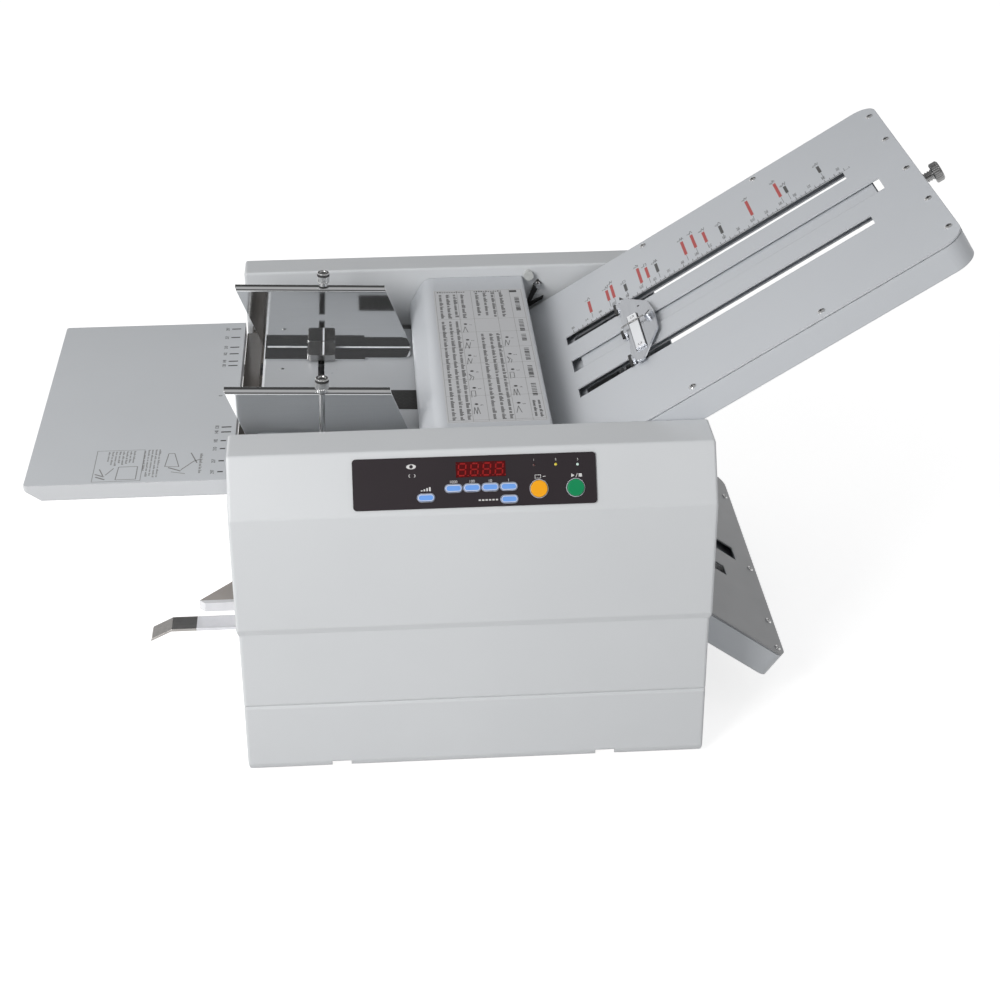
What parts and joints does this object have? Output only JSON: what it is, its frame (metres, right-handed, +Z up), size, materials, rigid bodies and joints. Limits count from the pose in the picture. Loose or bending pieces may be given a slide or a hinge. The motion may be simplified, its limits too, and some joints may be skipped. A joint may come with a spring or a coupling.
{
  "type": "paper folding machine",
  "caption": "Desktop paper folder: sliding feed tray, tilting feed table with paper guides, fold rollers, slanted upper and lower fold plates, and a keypad panel.",
  "frame": {"origin": "middle of the base of the whole bounding box, on the feet's undersides", "axes": "+X from the feed tray to the fold plates, +Y from the control panel to the back, +Z up"},
  "size_m": [0.808, 0.4762, 0.4577],
  "materials": {
    "cover_plastic": "fine moulded texture",
    "sheet_paint": "fine light grey powder coat",
    "frame_paint": "light grey paint",
    "zinc_sheet": "zinc plated",
    "steel": "ground",
    "polished_steel": "polished",
    "bronze": "sintered",
    "roller_steel": "knurled",
    "dark_rubber": "matte",
    "grey_rubber": "matte",
    "cork_pad": "matte",
    "gear_nylon": "moulded",
    "motor_paint": "black paint",
    "black_film": "satin film",
    "black_paint": "black",
    "key_blue": "satin",
    "key_yellow": "satin",
    "key_green": "satin",
    "board_green": "solder mask",
    "inlet_black": "moulded"
  },
  "bodies": {
    "machine": {"front_cover": "cover_plastic", "rear_cover": "cover_plastic", "left_end_panel": "sheet_paint", "right_end_panel": "sheet_paint", "base_pan": "zinc_sheet", "rubber_feet": "dark_rubber", "side_frame_front": "frame_paint", "side_frame_rear": "frame_paint", "tie_bars": "steel", "frame_screws": "steel", "roller_bearings": "bronze", "tray_rail_guide": "zinc_sheet", "separator_pad": "cork_pad", "drive_motor": "motor_paint", "exit_chute": "zinc_sheet", "plate_brackets": "black_paint", "control_panel": "black_film", "control_board": "board_green", "power_inlet": "inlet_black", "lower_plate": "sheet_paint", "lower_plate_base": "sheet_paint"},
    "outer_tray": {"feed_tray": "sheet_paint", "tray_rails": "sheet_paint"},
    "table": {"feed_table": "sheet_paint"},
    "front_guide": {"guide_front": "polished_steel", "guide_block_front": "polished_steel"},
    "rear_guide": {"guide_rear": "polished_steel", "guide_block_rear": "polished_steel"},
    "front_lock": {"guide_knob_front": "polished_steel"},
    "rear_lock": {"guide_knob_rear": "polished_steel"},
    "lever": {"release_lever": "polished_steel", "lift_shaft": "steel"},
    "links": {"lift_links": "zinc_sheet"},
    "feed_roller": {"feed_shaft": "steel", "feed_tyres": "grey_rubber"},
    "roller_1": {"fold_roller_1": "roller_steel", "roller_gear_1": "gear_nylon"},
    "roller_2": {"fold_roller_2": "roller_steel", "roller_gear_2": "gear_nylon"},
    "roller_3": {"fold_roller_3": "roller_steel", "roller_gear_3": "gear_nylon"},
    "roller_4": {"fold_roller_4": "roller_steel", "roller_gear_4": "gear_nylon"},
    "pinion": {"motor_pinion": "steel"},
    "loose_cover": {"top_cover": "sheet_paint"},
    "fold_plate": {"upper_plate": "sheet_paint", "upper_plate_base": "sheet_paint", "plate_screws": "polished_steel"},
    "upper_stop": {"stop_carriage": "polished_steel"},
    "end_knob": {"stop_knob": "polished_steel"},
    "bottom_stop": {"lower_stop": "polished_steel"},
    "switch_rocker": {"power_switch": "inlet_black"},
    "key_speed": {"button_speed": "key_blue"},
    "key_thousands": {"button_thousands": "key_blue"},
    "key_hundreds": {"button_hundreds": "key_blue"},
    "key_tens": {"button_tens": "key_blue"},
    "key_units": {"button_units": "key_blue"},
    "key_clear": {"button_clear": "key_blue"},
    "key_test": {"button_test": "key_yellow"},
    "key_start": {"button_start": "key_green"}
  },
  "joints": [
    {"name": "tray_slide", "type": "slide", "parent": "machine", "child": "outer_tray", "axis": [-1, 0, 0], "range_m": [0, 0.09]},
    {"name": "table_tilt", "type": "hinge", "parent": "machine", "child": "table", "pos_m": [-0.20758, 0, 0.22986], "axis": [0, 1, 0], "range_deg": [0, 3.5]},
    {"name": "lever_turn", "type": "hinge", "parent": "machine", "child": "lever", "pos_m": [-0.12996, 0, 0.104], "axis": [0, -1, 0], "range_deg": [0, 14.71]},
    {"name": "link_travel", "type": "slide", "parent": "machine", "child": "links", "axis": [0, 0, -1], "range_m": [0, 0.00384]},
    {"name": "front_guide_slide", "type": "slide", "parent": "table", "child": "front_guide", "axis": [0, -1, 0], "range_m": [-0.048, 0.0365]},
    {"name": "rear_guide_slide", "type": "slide", "parent": "table", "child": "rear_guide", "axis": [0, 1, 0], "range_m": [-0.048, 0.0365]},
    {"name": "front_lock_turn", "type": "hinge", "parent": "front_guide", "child": "front_lock", "pos_m": [-0.1545, -0.1169, 0.24383], "axis": [0.0384, 0, 0.9993], "range_deg": [0, 180]},
    {"name": "rear_lock_turn", "type": "hinge", "parent": "rear_guide", "child": "rear_lock", "pos_m": [-0.1545, 0.1169, 0.24383], "axis": [0.0384, 0, 0.9993], "range_deg": [0, 180]},
    {"name": "feed_spin", "type": "hinge", "parent": "machine", "child": "feed_roller", "pos_m": [-0.03996, 0, 0.258], "axis": [0, 1, 0], "continuous": true},
    {"name": "roller_1_spin", "type": "hinge", "parent": "machine", "child": "roller_1", "pos_m": [0.00678, 0, 0.23684], "axis": [0, 1, 0], "continuous": true},
    {"name": "roller_2_spin", "type": "hinge", "parent": "machine", "child": "roller_2", "pos_m": [0.02374, 0, 0.2097], "axis": [0, 1, 0], "continuous": true},
    {"name": "roller_3_spin", "type": "hinge", "parent": "machine", "child": "roller_3", "pos_m": [0.05465, 0, 0.21798], "axis": [0, 1, 0], "continuous": true},
    {"name": "roller_4_spin", "type": "hinge", "parent": "machine", "child": "roller_4", "pos_m": [0.02653, 0, 0.17782], "axis": [0, 1, 0], "continuous": true},
    {"name": "pinion_spin", "type": "hinge", "parent": "machine", "child": "pinion", "pos_m": [0.03933, 0, 0.15565], "axis": [0, 1, 0], "continuous": true},
    {"name": "cover_lift", "type": "slide", "parent": "machine", "child": "loose_cover", "axis": [0, 0, 1], "range_m": [0, 0.12]},
    {"name": "plate_removal", "type": "slide", "parent": "machine", "child": "fold_plate", "axis": [0.848, 0, 0.5299], "range_m": [0, 0.12]},
    {"name": "upper_stop_slide", "type": "slide", "parent": "fold_plate", "child": "upper_stop", "axis": [0.848, 0, 0.5299], "range_m": [-0.05, 0.23]},
    {"name": "end_knob_turn", "type": "hinge", "parent": "fold_plate", "child": "end_knob", "pos_m": [0.38394, 0, 0.44038], "axis": [0.848, 0, 0.5299], "continuous": true},
    {"name": "lower_stop_slide", "type": "slide", "parent": "machine", "child": "bottom_stop", "axis": [0.8097, 0, -0.5868], "range_m": [-0.06, 0.08]},
    {"name": "speed_press", "type": "slide", "parent": "machine", "child": "key_speed", "axis": [0, 0.859, -0.512], "range_m": [0, 0.001], "stiffness_N_per_m": 700, "springref_m": -0.0005},
    {"name": "thousands_press", "type": "slide", "parent": "machine", "child": "key_thousands", "axis": [0, 0.859, -0.512], "range_m": [0, 0.001], "stiffness_N_per_m": 700, "springref_m": -0.0005},
    {"name": "hundreds_press", "type": "slide", "parent": "machine", "child": "key_hundreds", "axis": [0, 0.859, -0.512], "range_m": [0, 0.001], "stiffness_N_per_m": 700, "springref_m": -0.0005},
    {"name": "tens_press", "type": "slide", "parent": "machine", "child": "key_tens", "axis": [0, 0.859, -0.512], "range_m": [0, 0.001], "stiffness_N_per_m": 700, "springref_m": -0.0005},
    {"name": "units_press", "type": "slide", "parent": "machine", "child": "key_units", "axis": [0, 0.859, -0.512], "range_m": [0, 0.001], "stiffness_N_per_m": 700, "springref_m": -0.0005},
    {"name": "clear_press", "type": "slide", "parent": "machine", "child": "key_clear", "axis": [0, 0.859, -0.512], "range_m": [0, 0.001], "stiffness_N_per_m": 700, "springref_m": -0.0005},
    {"name": "test_press", "type": "slide", "parent": "machine", "child": "key_test", "axis": [0, 0.859, -0.512], "range_m": [0, 0.001], "stiffness_N_per_m": 700, "springref_m": -0.0005},
    {"name": "start_press", "type": "slide", "parent": "machine", "child": "key_start", "axis": [0, 0.859, -0.512], "range_m": [0, 0.001], "stiffness_N_per_m": 700, "springref_m": -0.0005},
    {"name": "power_rock", "type": "hinge", "parent": "machine", "child": "switch_rocker", "pos_m": [-0.14096, 0.2346, 0.05], "axis": [-1, 0, 0], "range_deg": [0, 8]}
  ],
  "couplings": [
    {"joint": "lever_turn", "follows": "table_tilt", "ratio": 4.1745},
    {"joint": "link_travel", "follows": "table_tilt", "m_per_rad": 0.06209},
    {"joint": "roller_1_spin", "follows": "roller_2_spin", "ratio": -1},
    {"joint": "roller_3_spin", "follows": "roller_2_spin", "ratio": -1},
    {"joint": "roller_4_spin", "follows": "roller_2_spin", "ratio": -1},
    {"joint": "pinion_spin", "follows": "roller_2_spin", "ratio": 1.6667}
  ]
}
